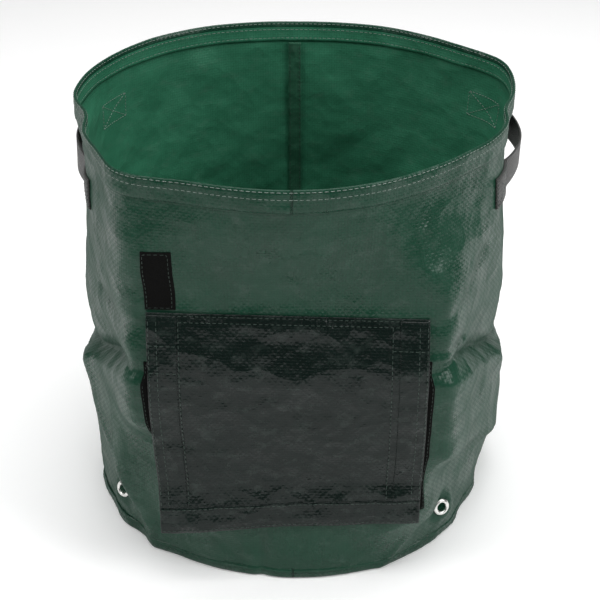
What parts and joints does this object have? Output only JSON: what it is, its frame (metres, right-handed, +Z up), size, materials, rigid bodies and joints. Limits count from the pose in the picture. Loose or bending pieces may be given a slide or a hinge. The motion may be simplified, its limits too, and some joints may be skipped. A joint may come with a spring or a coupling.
{
  "type": "fabric grow bag",
  "caption": "Open round grow bag of woven plastic sheet with a hemmed rim, webbing side handles, drainage eyelets and a hook-and-loop harvest flap on the front.",
  "frame": {"origin": "centre of the bounding box on the ground plane, under the base panel", "axes": "+Z up through the open mouth, -Y to the front with the flap, +X to the bag's right as the flap is faced, through the right handle"},
  "size_m": [0.3622, 0.3506, 0.351],
  "materials": {
    "woven_sheet": "glossy laminated weave",
    "webbing": "matte ribbed weave",
    "hook_and_loop": "matte pile",
    "eyelet_metal": "nickel plated"
  },
  "bodies": {
    "bag": {"side_wall": "woven_sheet", "rim_hem": "woven_sheet", "base_panel": "woven_sheet", "base_seam": "woven_sheet", "back_seam": "woven_sheet", "window_hem_top": "woven_sheet", "window_hem_bottom": "woven_sheet", "window_hem_left": "woven_sheet", "window_hem_right": "woven_sheet", "loop_tape_left": "hook_and_loop", "loop_tape_right": "hook_and_loop", "keeper_tape": "hook_and_loop", "flap_top_seam": "woven_sheet", "handle_left_front_end": "webbing", "handle_left_back_end": "webbing", "handle_right_front_end": "webbing", "handle_right_back_end": "webbing", "eyelet_front_left": "eyelet_metal", "washer_front_left": "eyelet_metal", "eyelet_front_right": "eyelet_metal", "washer_front_right": "eyelet_metal", "eyelet_back_right": "eyelet_metal", "washer_back_right": "eyelet_metal", "eyelet_back_left": "eyelet_metal", "washer_back_left": "eyelet_metal"},
    "flap": {"flap_panel": "woven_sheet", "flap_hem_left": "woven_sheet", "flap_hem_right": "woven_sheet", "flap_hem_bottom": "woven_sheet", "hook_tape_left": "hook_and_loop", "hook_tape_right": "hook_and_loop"},
    "handle_left": {"handle_left_loop": "webbing"},
    "handle_right": {"handle_right_loop": "webbing"}
  },
  "joints": [
    {"name": "flap_hinge", "type": "hinge", "parent": "bag", "child": "flap", "pos_m": [-0.00673, -0.16183, 0.2335], "axis": [-0.9996, 0, 0.0281], "range_deg": [0, 165]},
    {"name": "handle_left_swing", "type": "hinge", "parent": "bag", "child": "handle_left", "pos_m": [-0.1683, 0.01021, 0.302], "axis": [-0.03, 0.9996, 0], "range_deg": [-20, 20]},
    {"name": "handle_right_swing", "type": "hinge", "parent": "bag", "child": "handle_right", "pos_m": [0.16777, 0.01174, 0.302], "axis": [-0.0996, -0.995, 0], "range_deg": [-20, 20]}
  ]
}
